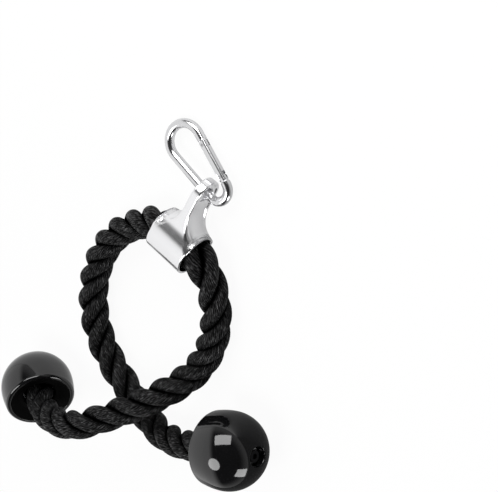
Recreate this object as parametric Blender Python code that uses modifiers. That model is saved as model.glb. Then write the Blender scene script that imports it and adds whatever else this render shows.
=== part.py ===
"""Triceps rope attachment: a short, thick rope through a cast chrome hanger, with a
snap hook in the hanger's eye and a ball screwed onto each end of the rope.

It lies on its side, as it does when it is put down. The hanger's sleeve runs along X
and its lug points along +Y and a little down, to the floor. Lengths are in metres. Places are first given from the
point on the floor under the middle of the sleeve, and ORIGIN_SHIFT then moves the whole
part, so that the origin is under the middle of the part's box.
"""

import math

import bmesh
import bpy
from mathutils import Matrix, Vector

# Fits that several pieces share
GAP = 0.0003
CUT_OVERRUN = 0.004
MERGE = 0.00005
SHADE_ANGLE = math.radians(35.0)

# Rope
ROPE_RADIUS = 0.014
ROPE_STEP = 0.0125
ROPE_BEVEL_RESOLUTION = 4
CURVE_STEPS = 40
ROPE_JOINT_IN_SLEEVE = 0.0045

# Hanger: sleeve, lug and strap
SLEEVE_RADIUS = 0.0195
SLEEVE_LENGTH = 0.039
SLEEVE_WALL = 0.0021
SLEEVE_LIP = 0.0006
SLEEVE_HEIGHT = SLEEVE_RADIUS
LUG_HALF_WIDTH = 0.0135
LUG_FOOT_INSET = 0.0002
LUG_FLARE = SLEEVE_RADIUS - LUG_HALF_WIDTH - LUG_FOOT_INSET
LUG_WAIST = 0.0295
EYE_HEIGHT = 0.0535
EYE_RADIUS = 0.007
EYE_CHAMFER = 0.0008
STRAP_WIDTH = 0.0033
STRAP_HALF_THICKNESS = 0.0043
WEB_HALF_THICKNESS = 0.0028
FLARE_RISE = 0.020
WEB_BLEND = 0.0016
FLARE_STEPS = 10
FLARE_SIDES = 47
ROUND_STEPS = 24

# The hanger is rolled about its sleeve until the lug's end lies on the floor too
LUG_OVER_FLOOR = 0.0002
LUG_TILT = math.asin((SLEEVE_HEIGHT - LUG_HALF_WIDTH - LUG_OVER_FLOOR) / EYE_HEIGHT)
EYE_ALONG = EYE_HEIGHT * math.cos(LUG_TILT)
EYE_OVER_FLOOR = SLEEVE_HEIGHT - EYE_HEIGHT * math.sin(LUG_TILT)

# Snap hook, seen in its own plane: across from the spine to the gate, and along
WIRE_RADIUS = 0.004
RING_RADIUS = 0.010
BOW_RADIUS = 0.016
BOW_HEIGHT = 0.047
NOSE_STRAIGHT = 0.0068
NOSE_END = BOW_HEIGHT - NOSE_STRAIGHT
TONGUE_HALF_THICKNESS = 0.0014
TONGUE_REACH = 0.0058
TONGUE_ROOT = 0.0023
NOSE_TONGUE_END = NOSE_END - TONGUE_REACH
NOSE_TONGUE_TOP = NOSE_END + TONGUE_ROOT
NOSE_TOE_HEIGHT = 0.0010
NOSE_NECK_WIDTH = 0.0018
NOSE_TOE_REACH = 0.0025
HINGE_SHOULDER = 0.0020
HINGE_TONGUE_ROOT = -0.001
WIRE_STEP_DEG = 12.0

# Gate of the snap hook
PIVOT_HEIGHT = 0.0065
PIVOT_RADIUS = 0.00125
GATE_RADIUS = 0.0039
GATE_END_GAP = 0.0005
GATE_END = NOSE_END - GATE_END_GAP
TONGUE_END_GAP = 0.0006
GATE_TOP_SLOT = NOSE_TONGUE_END - TONGUE_END_GAP
HINGE_TONGUE_RADIUS = 0.0030
HINGE_SLOT_DEPTH = 0.0038
SPRING_BORE_RADIUS = 0.0018
SPRING_BORE_MARGIN = 0.0068
SPRING_BORE_END = GATE_TOP_SLOT - SPRING_BORE_MARGIN
LATCH_PIN_RADIUS = 0.0009
LATCH_PIN_OVER_TONGUE_END = 0.0021
LATCH_PIN_HEIGHT = NOSE_TONGUE_END + LATCH_PIN_OVER_TONGUE_END
PLUNGER_RADIUS = 0.0014
PLUNGER_LENGTH = 0.0020
SPRING_RADIUS = 0.0012
SPRING_WIRE_RADIUS = 0.00022
SPRING_TURNS = 9
SPRING_POINTS_PER_TURN = 9

# How the snap hook hangs in the eye
SPINE_AT_EYE = 0.0064
HOOK_LEAN = math.radians(67.4)
HOOK_DROOP = math.radians(10.7)
HOOK_DROP_IN_EYE = 0.0025

# End balls, along their own axis from the ball's centre towards the rope
BALL_RADIUS = 0.0345
BALL_SKIRT = 0.018
BALL_RIM_RADIUS = 0.033
BALL_RIM_ROUND = 0.003
BALL_SKIRT_STEPS = 4
BALL_LIP_WIDTH = 0.0014
BALL_DISH_DEPTH = 0.007
BALL_DISH_MARGIN = 0.0035
BALL_BORE_END = -0.016
SCREW_RECESS_RADIUS = 0.0088
SCREW_RECESS_DEPTH = 0.009
SCREW_RECESS_ROUND = 0.0010
SCREW_HOLE_RADIUS = 0.0036
BALL_SIDES = 48

# Fixing of the rope's end in the ball
FERRULE_RADIUS = 0.0155
FERRULE_BASE = 0.004
FERRULE_LENGTH = 0.018
ROPE_JOINT_IN_BALL = 0.0060
WASHER_RADIUS = 0.0068
WASHER_THICKNESS = 0.0014
SCREW_HEAD_RADIUS = 0.0052
SCREW_HEAD_HEIGHT = 0.0036
SCREW_SHANK_RADIUS = 0.0030
SOCKET_RADIUS = 0.0027
SOCKET_DEPTH = 0.0022
HEX_SIDES = 6

# Where each ball lies and which way its rope leaves it
LEFT_BALL = Vector((-0.0667, -0.2588, BALL_RADIUS))
LEFT_BALL_TO_ROPE = Vector((0.841, 0.109, 0.530)).normalized()
RIGHT_BALL = Vector((0.1356, -0.1271, BALL_RADIUS))
RIGHT_BALL_TO_ROPE = Vector((-0.754, -0.651, -0.050)).normalized()

# Moves the part so that the origin is under the middle of its box
ORIGIN_SHIFT = Vector((-0.0344, 0.0996, 0.0))

# The route of the stretch that arches over the other one, from the left ball to the
# sleeve's right mouth, and of the stretch that lies on the floor to the right ball.
# The ends come from the ball or sleeve that the rope goes into.
FRONT_ROUTE = [
    (-0.0440, -0.2551, 0.0486),
    (-0.0360, -0.2515, 0.0532),
    (-0.0268, -0.2456, 0.0576),
    (-0.0154, -0.2368, 0.0618),
    (-0.0026, -0.2256, 0.0641),
    (0.0092, -0.2126, 0.0625),
    (0.0188, -0.1994, 0.0574),
    (0.0273, -0.1868, 0.0514),
    (0.0350, -0.1745, 0.0470),
    (0.0425, -0.1615, 0.0440),
    (0.0501, -0.1470, 0.0400),
    (0.0570, -0.1330, 0.0340),
    (0.0625, -0.1200, 0.0270),
    (0.0668, -0.1055, 0.0205),
    (0.0686, -0.0880, 0.0160),
    (0.0672, -0.0670, 0.0145),
    (0.0618, -0.0465, 0.0143),
    (0.0525, -0.0285, 0.0147),
    (0.0405, -0.0130, 0.0162),
    (0.0300, -0.0040, 0.0182),
]
REAR_ROUTE = [
    (-0.0300, -0.0060, 0.0182),
    (-0.0405, -0.0175, 0.0160),
    (-0.0515, -0.0325, 0.0146),
    (-0.0600, -0.0490, 0.0142),
    (-0.0655, -0.0680, 0.0141),
    (-0.0672, -0.0870, 0.0141),
    (-0.0656, -0.1070, 0.0141),
    (-0.0608, -0.1265, 0.0141),
    (-0.0528, -0.1435, 0.0141),
    (-0.0420, -0.1580, 0.0141),
    (-0.0295, -0.1690, 0.0141),
    (-0.0150, -0.1778, 0.0141),
    (0.0010, -0.1845, 0.0141),
    (0.0170, -0.1900, 0.0141),
    (0.0330, -0.1955, 0.0142),
    (0.0475, -0.1985, 0.0148),
    (0.0610, -0.1968, 0.0170),
    (0.0745, -0.1895, 0.0210),
    (0.0880, -0.1780, 0.0256),
    (0.1025, -0.1630, 0.0298),
]

for old in list(bpy.data.objects):
    bpy.data.objects.remove(old, do_unlink=True)

parts = bpy.data.collections.new("triceps_rope")
cutters = bpy.data.collections.new("cutters")
bpy.context.scene.collection.children.link(parts)
bpy.context.scene.collection.children.link(cutters)


def material(name, colour, roughness, metallic):
    made = bpy.data.materials.new(name)
    made.use_nodes = True
    shader = made.node_tree.nodes["Principled BSDF"]
    shader.inputs["Base Color"].default_value = (*colour, 1.0)
    shader.inputs["Roughness"].default_value = roughness
    shader.inputs["Metallic"].default_value = metallic
    return made


CHROME = material("chrome", (0.78, 0.79, 0.80), 0.08, 1.0)
STEEL = material("steel", (0.45, 0.45, 0.46), 0.35, 1.0)
BLACK_STEEL = material("black_steel", (0.05, 0.05, 0.052), 0.3, 1.0)
BLACK_GLOSS = material("black_gloss", (0.012, 0.012, 0.013), 0.12, 0.0)
BLACK_ROPE = material("black_rope", (0.015, 0.015, 0.016), 0.75, 0.0)


def empty(name, matrix, parent=None):
    made = bpy.data.objects.new(name, None)
    parts.objects.link(made)
    made.parent = parent
    made.matrix_basis = matrix
    return made


def add_mesh(name, bm, finish=None, parent=None):
    """A new object from a bmesh. With no finish it is a cutter."""
    mesh = bpy.data.meshes.new(name)
    bmesh.ops.recalc_face_normals(bm, faces=bm.faces)
    bm.to_mesh(mesh)
    bm.free()
    made = bpy.data.objects.new(name, mesh)
    if finish is None:
        cutters.objects.link(made)
        made.hide_render = True
        made.display_type = "WIRE"
    else:
        parts.objects.link(made)
        mesh.materials.append(finish)
    made.parent = parent
    return made


def shade_round(made, angle=SHADE_ANGLE):
    made.data.shade_smooth()
    made.data.set_sharp_from_angle(angle=angle)
    return made


def apply_modifiers(made):
    """Replaces the object's mesh by what its modifiers make of it."""
    bpy.context.view_layer.update()
    graph = bpy.context.evaluated_depsgraph_get()
    mesh = bpy.data.meshes.new_from_object(made.evaluated_get(graph))
    made.modifiers.clear()
    made.data = mesh
    return made


def combine(made, others, operation):
    """Cuts or joins the others, drawn in the same local frame, with a boolean each."""
    for other in others:
        other.parent = made.parent
        step = made.modifiers.new(operation.lower(), "BOOLEAN")
        step.operation = operation
        step.object = other
        apply_modifiers(made)
        bpy.data.objects.remove(other, do_unlink=True)
    return made


def mesh_of_curve(curve_object, finish=None, parent=None):
    """The solid of a bevelled curve as a mesh with welded caps."""
    bpy.context.view_layer.update()
    graph = bpy.context.evaluated_depsgraph_get()
    mesh = bpy.data.meshes.new_from_object(curve_object.evaluated_get(graph))
    bm = bmesh.new()
    bm.from_mesh(mesh)
    bpy.data.meshes.remove(mesh)
    bmesh.ops.remove_doubles(bm, verts=bm.verts, dist=MERGE)
    name = curve_object.name
    bpy.data.objects.remove(curve_object, do_unlink=True)
    return add_mesh(name, bm, finish, parent)


def tube(name, points, radius, bevel_resolution, finish, parent=None):
    """A POLY curve with a round section and filled caps."""
    curve = bpy.data.curves.new(name, "CURVE")
    curve.dimensions = "3D"
    curve.bevel_depth = radius
    curve.bevel_resolution = bevel_resolution
    curve.use_fill_caps = True
    spline = curve.splines.new("POLY")
    spline.points.add(len(points) - 1)
    for place, point in zip(spline.points, points):
        place.co = (*point, 1.0)
    curve.materials.append(finish)
    made = bpy.data.objects.new(name, curve)
    parts.objects.link(made)
    made.parent = parent
    return made


def plate(name, outline, low, high):
    """A flat outline of (x, y) points, from z = low to z = high."""
    bm = bmesh.new()
    face = bm.faces.new([bm.verts.new((x, y, low)) for x, y in outline])
    grown = bmesh.ops.extrude_face_region(bm, geom=[face])
    moved = [item for item in grown["geom"] if isinstance(item, bmesh.types.BMVert)]
    bmesh.ops.translate(bm, verts=moved, vec=(0.0, 0.0, high - low))
    return add_mesh(name, bm)


def turned(name, profile, sides, finish=None, parent=None):
    """A closed profile of (radius, height) points, turned about Z."""
    bm = bmesh.new()
    ring = [bm.verts.new((radius, 0.0, height)) for radius, height in profile]
    on_axis = profile[0][0] == 0.0 and profile[-1][0] == 0.0
    pairs = list(zip(ring, ring[1:])) + ([] if on_axis else [(ring[-1], ring[0])])
    for a, b in pairs:
        bm.edges.new((a, b))
    made = add_mesh(name, bm, finish, parent)
    screw = made.modifiers.new("turn", "SCREW")
    screw.axis = "Z"
    screw.steps = sides
    screw.render_steps = sides
    screw.use_merge_vertices = True
    screw.merge_threshold = MERGE
    apply_modifiers(made)
    bm = bmesh.new()
    bm.from_mesh(made.data)
    bmesh.ops.remove_doubles(bm, verts=bm.verts, dist=MERGE)
    bmesh.ops.recalc_face_normals(bm, faces=bm.faces)
    bm.to_mesh(made.data)
    bm.free()
    return made


def cylinder(name, radius, low, high, sides, turn=None, finish=None, parent=None):
    """A cylinder along Z from low to high, then turned by a matrix."""
    bm = bmesh.new()
    bmesh.ops.create_cone(
        bm, cap_ends=True, segments=sides, radius1=radius, radius2=radius, depth=high - low
    )
    bmesh.ops.translate(bm, verts=bm.verts, vec=(0.0, 0.0, (low + high) / 2))
    if turn is not None:
        bmesh.ops.transform(bm, matrix=turn, verts=bm.verts)
    return add_mesh(name, bm, finish, parent)


def block(name, low, high):
    bm = bmesh.new()
    bmesh.ops.create_cube(bm, size=1.0)
    size = [b - a for a, b in zip(low, high)]
    middle = [(a + b) / 2 for a, b in zip(low, high)]
    bmesh.ops.scale(bm, vec=size, verts=bm.verts)
    bmesh.ops.translate(bm, vec=middle, verts=bm.verts)
    return add_mesh(name, bm)


def arc(centre, radius, start_deg, end_deg, steps):
    """Points on an arc in the plane, both ends included."""
    points = []
    for i in range(steps + 1):
        angle = math.radians(start_deg + (end_deg - start_deg) * i / steps)
        points.append(
            (centre[0] + radius * math.cos(angle), centre[1] + radius * math.sin(angle))
        )
    return points


def mirrored(half):
    """A closed outline from its right half, listed from bottom to top."""
    return half + [(-x, y) for x, y in reversed(half) if x > MERGE]


# Frames: X across the sleeve, Y up the lug, Z up from the floor
TO_X = Matrix.Rotation(math.pi / 2, 4, "Y")
# A plate drawn as (t, u) with thickness along r goes to (r, u, t)
TU_PLATE = Matrix(((0, 0, 1, 0), (0, 1, 0, 0), (1, 0, 0, 0), (0, 0, 0, 1)))


def turn_mesh(made, matrix):
    made.data.transform(matrix)
    if matrix.determinant() < 0:
        made.data.flip_normals()
    return made


def lug_outline(inset):
    """The lug's outline from its side, from inside the sleeve to its round top."""
    half = []
    for i in range(FLARE_STEPS + 1):
        height = LUG_WAIST * i / FLARE_STEPS
        spread = LUG_FLARE * (1 - i / FLARE_STEPS) ** 2
        half.append((LUG_HALF_WIDTH + spread - inset, height))
    half += arc((0.0, EYE_HEIGHT), LUG_HALF_WIDTH - inset, 0.0, 90.0, ROUND_STEPS // 2)
    return mirrored(half)


def spool(name, half_thickness, at_sleeve):
    """A disc round the sleeve's axis that flares out to the sleeve's length at its skin.

    Its odd number of sides keeps its edges off the sleeve's own.
    """
    rim = EYE_HEIGHT + LUG_HALF_WIDTH + CUT_OVERRUN
    half = [(rim, half_thickness)]
    for i in range(FLARE_STEPS + 1):
        angle = math.pi / 2 * (1 - i / FLARE_STEPS)
        out = (at_sleeve - half_thickness) * (1 - math.sin(angle))
        height = SLEEVE_RADIUS - SLEEVE_LIP + FLARE_RISE * (1 - math.cos(angle))
        half.append((height, half_thickness + out))
    half.append((0.0, at_sleeve))
    profile = [(radius, -place) for radius, place in reversed(half)] + half
    return turn_mesh(turned(name, profile, FLARE_SIDES), TO_X)


def make_hanger(parent):
    reach = SLEEVE_LENGTH / 2
    lip = SLEEVE_LIP
    wide = SLEEVE_RADIUS + CUT_OVERRUN
    lug = turn_mesh(plate("lug", lug_outline(0.0), -reach, reach), TU_PLATE)
    combine(lug, [spool("lug_flare", STRAP_HALF_THICKNESS, reach - lip)], "INTERSECT")
    pockets = turn_mesh(plate("pockets", lug_outline(STRAP_WIDTH), -wide, wide), TU_PLATE)
    combine(pockets, [spool("web_flare", WEB_HALF_THICKNESS, reach + WEB_BLEND)], "DIFFERENCE")
    combine(lug, [pockets], "DIFFERENCE")
    outer = [
        (SLEEVE_RADIUS - lip, -reach),
        (SLEEVE_RADIUS, -reach + lip),
        (SLEEVE_RADIUS, reach - lip),
        (SLEEVE_RADIUS - lip, reach),
    ]
    sleeve = turned("hanger", [(0.0, -reach)] + outer + [(0.0, reach)], BALL_SIDES, CHROME)
    turn_mesh(sleeve, TO_X)
    combine(sleeve, [lug], "UNION")
    bore = cylinder(
        "bore",
        SLEEVE_RADIUS - SLEEVE_WALL,
        -reach - CUT_OVERRUN,
        reach + CUT_OVERRUN,
        BALL_SIDES,
        TO_X,
    )
    eye_reach = WEB_HALF_THICKNESS + EYE_CHAMFER
    eye = turned(
        "eye",
        [
            (0.0, -wide),
            (EYE_RADIUS + EYE_CHAMFER, -wide),
            (EYE_RADIUS + EYE_CHAMFER, -WEB_HALF_THICKNESS),
            (EYE_RADIUS, -eye_reach + 2 * EYE_CHAMFER),
            (EYE_RADIUS, eye_reach - 2 * EYE_CHAMFER),
            (EYE_RADIUS + EYE_CHAMFER, WEB_HALF_THICKNESS),
            (EYE_RADIUS + EYE_CHAMFER, wide),
            (0.0, wide),
        ],
        ROUND_STEPS,
    )
    turn_mesh(eye, TO_X)
    turn_mesh(eye, Matrix.Translation((0.0, EYE_HEIGHT, 0.0)))
    combine(sleeve, [bore, eye], "DIFFERENCE")
    sleeve.parent = parent
    return shade_round(sleeve)


def spine_angle():
    """How far the straight spine leans out from the hook's long axis."""
    across = RING_RADIUS - BOW_RADIUS
    between = math.hypot(across, BOW_HEIGHT)
    return math.atan2(-across, BOW_HEIGHT) + math.asin((BOW_RADIUS - RING_RADIUS) / between)


def hook_line():
    """The wire's centre line, from the nose over the bow, down the spine, round the ring."""
    lean = math.degrees(spine_angle())
    bow = (RING_RADIUS - BOW_RADIUS, BOW_HEIGHT)
    line = [(RING_RADIUS, NOSE_END)]
    sweep = 180.0 + lean
    line += arc(bow, BOW_RADIUS, 0.0, sweep, round(sweep / WIRE_STEP_DEG))
    turn = 180.0 - lean
    line += arc((0.0, 0.0), RING_RADIUS, sweep, sweep + turn, round(turn / WIRE_STEP_DEG))
    line.append((RING_RADIUS, HINGE_SHOULDER))
    return line


def make_hook_body(parent):
    wire = tube(
        "snap_hook_body",
        [(x, y, 0.0) for x, y in hook_line()],
        WIRE_RADIUS,
        ROPE_BEVEL_RESOLUTION,
        CHROME,
        parent,
    )
    body = mesh_of_curve(wire, CHROME, parent)
    thick = TONGUE_HALF_THICKNESS
    x = RING_RADIUS
    hinge = [(x - HINGE_TONGUE_RADIUS, HINGE_TONGUE_ROOT), (x + HINGE_TONGUE_RADIUS, HINGE_TONGUE_ROOT)]
    hinge += arc((x, PIVOT_HEIGHT), HINGE_TONGUE_RADIUS, 0.0, 180.0, ROUND_STEPS // 2)
    out = x + HINGE_TONGUE_RADIUS
    neck = out - NOSE_NECK_WIDTH
    toe_top = NOSE_TONGUE_END + NOSE_TOE_HEIGHT
    neck_top = LATCH_PIN_HEIGHT + LATCH_PIN_RADIUS + GAP
    nose = [
        (out, NOSE_TONGUE_END),
        (out, NOSE_TONGUE_TOP),
        (x - HINGE_TONGUE_RADIUS, NOSE_TONGUE_TOP),
        (x - HINGE_TONGUE_RADIUS, neck_top),
        (neck, neck_top),
        (neck, toe_top),
        (x - NOSE_TOE_REACH, toe_top),
        (x - NOSE_TOE_REACH, NOSE_TONGUE_END),
    ]
    tongues = [plate("hinge_tongue", hinge, -thick, thick), plate("nose_tongue", nose, -thick, thick)]
    combine(body, tongues, "UNION")
    hole = cylinder(
        "pivot_hole", PIVOT_RADIUS + GAP, -WIRE_RADIUS, WIRE_RADIUS, ROUND_STEPS,
        Matrix.Translation((x, PIVOT_HEIGHT, 0.0)),
    )
    combine(body, [hole], "DIFFERENCE")
    return shade_round(body)


def make_gate(parent):
    """The gate and what it carries, drawn from the gate's pivot."""
    along_y = Matrix.Rotation(-math.pi / 2, 4, "X")
    end = GATE_END - PIVOT_HEIGHT
    gate = cylinder(
        "snap_hook_gate", GATE_RADIUS, -GATE_RADIUS - CUT_OVERRUN, end, ROUND_STEPS, along_y,
        CHROME, parent,
    )
    stadium = [(GATE_RADIUS + MERGE, end + CUT_OVERRUN), (-GATE_RADIUS - MERGE, end + CUT_OVERRUN)]
    stadium += arc((0.0, 0.0), GATE_RADIUS + MERGE, 180.0, 360.0, ROUND_STEPS // 2)
    combine(gate, [plate("gate_round", stadium, -WIRE_RADIUS, WIRE_RADIUS)], "INTERSECT")
    slot = TONGUE_HALF_THICKNESS + GAP
    wide = GATE_RADIUS + CUT_OVERRUN
    top_slot = GATE_TOP_SLOT - PIVOT_HEIGHT
    bore_end = SPRING_BORE_END - PIVOT_HEIGHT
    cuts = [
        block("hinge_slot", (-wide, -wide, -slot), (wide, HINGE_SLOT_DEPTH, slot)),
        block("nose_slot", (-wide, top_slot, -slot), (wide, end + CUT_OVERRUN, slot)),
        cylinder("spring_bore", SPRING_BORE_RADIUS, GAP, bore_end, ROUND_STEPS // 2, along_y),
        cylinder("rivet_hole", PIVOT_RADIUS + GAP, -wide, wide, ROUND_STEPS // 2),
        cylinder(
            "latch_hole", LATCH_PIN_RADIUS + GAP, -wide, wide, ROUND_STEPS // 2,
            Matrix.Translation((0.0, LATCH_PIN_HEIGHT - PIVOT_HEIGHT, 0.0)),
        ),
    ]
    combine(gate, cuts, "DIFFERENCE")
    shade_round(gate)
    shade_round(
        cylinder(
            "gate_latch_pin", LATCH_PIN_RADIUS, -GATE_RADIUS + GAP, GATE_RADIUS - GAP,
            ROUND_STEPS // 2,
            Matrix.Translation((0.0, LATCH_PIN_HEIGHT - PIVOT_HEIGHT, 0.0)), STEEL, parent,
        )
    )
    low = HINGE_TONGUE_RADIUS + 2 * GAP
    plunger_end = low + PLUNGER_LENGTH
    shade_round(
        cylinder(
            "gate_plunger", PLUNGER_RADIUS, low, plunger_end, ROUND_STEPS // 2, along_y, STEEL,
            parent,
        )
    )
    start = plunger_end + SPRING_WIRE_RADIUS + GAP
    rise = bore_end - SPRING_WIRE_RADIUS - GAP - start
    points = []
    for i in range(SPRING_TURNS * SPRING_POINTS_PER_TURN + 1):
        turn = i / SPRING_POINTS_PER_TURN
        angle = 2 * math.pi * turn
        height = start + rise * turn / SPRING_TURNS
        points.append((SPRING_RADIUS * math.cos(angle), height, SPRING_RADIUS * math.sin(angle)))
    tube("gate_spring", points, SPRING_WIRE_RADIUS, 1, STEEL, parent)


def make_snap_hook(assembly):
    """The hook lies with its spine through the eye, and its bow drooping to the floor."""
    lean = spine_angle()
    spine_start = Vector((-RING_RADIUS * math.cos(lean), -RING_RADIUS * math.sin(lean), 0.0))
    along_spine = Vector((-math.sin(lean), math.cos(lean), 0.0))
    at_eye = spine_start + along_spine * SPINE_AT_EYE
    eye = Vector((0.0, EYE_ALONG, EYE_OVER_FLOOR - HOOK_DROP_IN_EYE))
    turn = Matrix.Rotation(-HOOK_DROOP, 4, "X") @ Matrix.Rotation(HOOK_LEAN, 4, "Z")
    swing = empty("hook_swing_axis", Matrix.Translation(eye) @ turn, assembly)
    hook = empty("snap_hook_frame", Matrix.Translation(-at_eye), swing)
    make_hook_body(hook)
    pivot = Matrix.Translation((RING_RADIUS, PIVOT_HEIGHT, 0.0))
    gate = empty("gate_hinge_axis", pivot, hook)
    shade_round(
        cylinder(
            "gate_pivot_rivet", PIVOT_RADIUS, -GATE_RADIUS + GAP, GATE_RADIUS - GAP, ROUND_STEPS,
            pivot, STEEL, hook,
        )
    )
    make_gate(gate)


def make_end(side, assembly, centre, to_rope):
    """One ball with the screw, washer and ferrule that hold the rope's end in it."""
    turn = Vector((0.0, 0.0, 1.0)).rotation_difference(to_rope).to_matrix().to_4x4()
    end = empty(f"{side}_end", Matrix.Translation(centre) @ turn, assembly)
    bore = FERRULE_RADIUS + GAP
    land = math.sqrt(BALL_RADIUS**2 - (SCREW_RECESS_RADIUS + SCREW_RECESS_ROUND) ** 2)
    recess = SCREW_RECESS_DEPTH - land
    dish = BALL_SKIRT - BALL_DISH_DEPTH
    start_angle = -math.degrees(math.acos((SCREW_RECESS_RADIUS + SCREW_RECESS_ROUND) / BALL_RADIUS))
    profile = [
        (SCREW_HOLE_RADIUS, BALL_BORE_END),
        (SCREW_HOLE_RADIUS, recess),
        (SCREW_RECESS_RADIUS, recess),
        (SCREW_RECESS_RADIUS, -land + SCREW_RECESS_ROUND),
    ]
    profile += arc((0.0, 0.0), BALL_RADIUS, start_angle, 0.0, BALL_SIDES // 4)
    rim_round = (BALL_RIM_RADIUS - BALL_RIM_ROUND, BALL_SKIRT - BALL_RIM_ROUND)
    for i in range(1, BALL_SKIRT_STEPS):
        share = i / BALL_SKIRT_STEPS
        drawn_in = (BALL_RADIUS - BALL_RIM_RADIUS) * share**2
        profile.append((BALL_RADIUS - drawn_in, rim_round[1] * share))
    profile += arc(rim_round, BALL_RIM_ROUND, 0.0, 90.0, ROUND_STEPS // 4)
    lip = BALL_RIM_RADIUS - BALL_RIM_ROUND - BALL_LIP_WIDTH
    profile += [
        (lip, BALL_SKIRT),
        (bore + BALL_DISH_MARGIN, dish),
        (bore, dish),
        (bore, BALL_BORE_END),
    ]
    shade_round(turned(f"end_ball_{side}", profile, BALL_SIDES, BLACK_GLOSS, end))

    low = BALL_BORE_END + GAP
    inner = ROPE_RADIUS + GAP
    hole = SCREW_SHANK_RADIUS + GAP
    ferrule = [
        (hole, low),
        (FERRULE_RADIUS, low),
        (FERRULE_RADIUS, low + FERRULE_LENGTH),
        (inner, low + FERRULE_LENGTH),
        (inner, low + FERRULE_BASE),
        (hole, low + FERRULE_BASE),
    ]
    shade_round(turned(f"rope_ferrule_{side}", ferrule, BALL_SIDES, STEEL, end))
    tail_low = low + FERRULE_BASE + GAP
    tail_high = ROPE_JOINT_IN_BALL - GAP
    shade_round(
        cylinder(
            f"rope_tail_{side}", ROPE_RADIUS, tail_low, tail_high, ROUND_STEPS, None,
            BLACK_ROPE, end,
        )
    )
    seat = recess - GAP
    washer = [
        (hole, seat - WASHER_THICKNESS),
        (WASHER_RADIUS, seat - WASHER_THICKNESS),
        (WASHER_RADIUS, seat),
        (hole, seat),
    ]
    shade_round(turned(f"end_washer_{side}", washer, ROUND_STEPS, STEEL, end))
    head = seat - WASHER_THICKNESS - GAP
    top = head - SCREW_HEAD_HEIGHT
    screw_profile = [
        (0.0, tail_low - GAP),
        (SCREW_SHANK_RADIUS, tail_low - GAP),
        (SCREW_SHANK_RADIUS, head),
        (SCREW_HEAD_RADIUS, head),
        (SCREW_HEAD_RADIUS, top),
        (0.0, top),
    ]
    screw = turned(f"end_screw_{side}", screw_profile, ROUND_STEPS, BLACK_STEEL, end)
    socket = cylinder("socket", SOCKET_RADIUS, top - CUT_OVERRUN, top + SOCKET_DEPTH, HEX_SIDES)
    combine(screw, [socket], "DIFFERENCE")
    shade_round(screw)
    return end


def smooth_points(route, step):
    """Points on a smooth curve through the route, whose first and last runs stay straight."""
    dense = []
    for a, b, c, d in zip(route, route[1:], route[2:], route[3:]):
        for i in range(CURVE_STEPS):
            t = i / CURVE_STEPS
            bend = 2 * a - 5 * b + 4 * c - d
            twist = 3 * b - a - 3 * c + d
            dense.append((2 * b + (c - a) * t + bend * t**2 + twist * t**3) / 2)
    dense.append(route[-2])
    travelled = [0.0]
    for a, b in zip(dense, dense[1:]):
        travelled.append(travelled[-1] + (b - a).length)
    count = round(travelled[-1] / step)
    points, at = [route[0]], 0
    for k in range(count + 1):
        wanted = travelled[-1] * k / count
        while at < len(dense) - 2 and travelled[at + 1] < wanted:
            at += 1
        share = (wanted - travelled[at]) / (travelled[at + 1] - travelled[at])
        points.append(dense[at].lerp(dense[at + 1], min(max(share, 0.0), 1.0)))
    points.append(route[-1])
    return points


def make_rope(assembly):
    mouth = SLEEVE_LENGTH / 2
    joint = mouth - ROPE_JOINT_IN_SLEEVE
    left_out = [LEFT_BALL + LEFT_BALL_TO_ROPE * s for s in (ROPE_JOINT_IN_BALL, BALL_SKIRT)]
    right_out = [RIGHT_BALL + RIGHT_BALL_TO_ROPE * s for s in (BALL_SKIRT, ROPE_JOINT_IN_BALL)]
    right_mouth = [Vector((s, 0.0, SLEEVE_HEIGHT)) for s in (mouth, joint)]
    left_mouth = [Vector((-s, 0.0, SLEEVE_HEIGHT)) for s in (joint, mouth)]
    stretches = {
        "rope_front_stretch": left_out + [Vector(p) for p in FRONT_ROUTE] + right_mouth,
        "rope_rear_stretch": left_mouth + [Vector(p) for p in REAR_ROUTE] + right_out,
    }
    for name, route in stretches.items():
        points = smooth_points(route, ROPE_STEP)
        tube(name, points, ROPE_RADIUS, ROPE_BEVEL_RESOLUTION, BLACK_ROPE, assembly)
        length = sum((b - a).length for a, b in zip(points, points[1:]))
        print(name, "length", round(length, 4), "points", len(points))
    filled = SLEEVE_RADIUS - SLEEVE_WALL - GAP
    middle = cylinder(
        "rope_in_sleeve", filled, -joint + GAP, joint - GAP, ROUND_STEPS * 2, TO_X, BLACK_ROPE,
        assembly,
    )
    middle.location = (0.0, 0.0, SLEEVE_HEIGHT)
    shade_round(middle)


def build():
    assembly = empty("rope_attachment", Matrix.Translation(ORIGIN_SHIFT))
    roll = Matrix.Rotation(-LUG_TILT, 4, "X")
    sleeve_frame = empty(
        "sleeve_axis", Matrix.Translation((0.0, 0.0, SLEEVE_HEIGHT)) @ roll, assembly
    )
    make_hanger(sleeve_frame)
    make_snap_hook(assembly)
    make_end("left", assembly, LEFT_BALL, LEFT_BALL_TO_ROPE)
    make_end("right", assembly, RIGHT_BALL, RIGHT_BALL_TO_ROPE)
    make_rope(assembly)
    bpy.context.view_layer.update()


build()
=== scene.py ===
"""Looks of the triceps rope attachment: laid rope, chromed hanger and snap hook, black balls.

The part lies on a white floor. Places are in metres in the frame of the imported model. The
routes and sizes below repeat those of the part's source, given from the floor point under
the middle of the hanger's sleeve, and SHIFT moves them to the model's origin.
"""

import math
from functools import partial

import bmesh
import bpy
import numpy as np
from mathutils import Matrix, Vector


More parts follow.
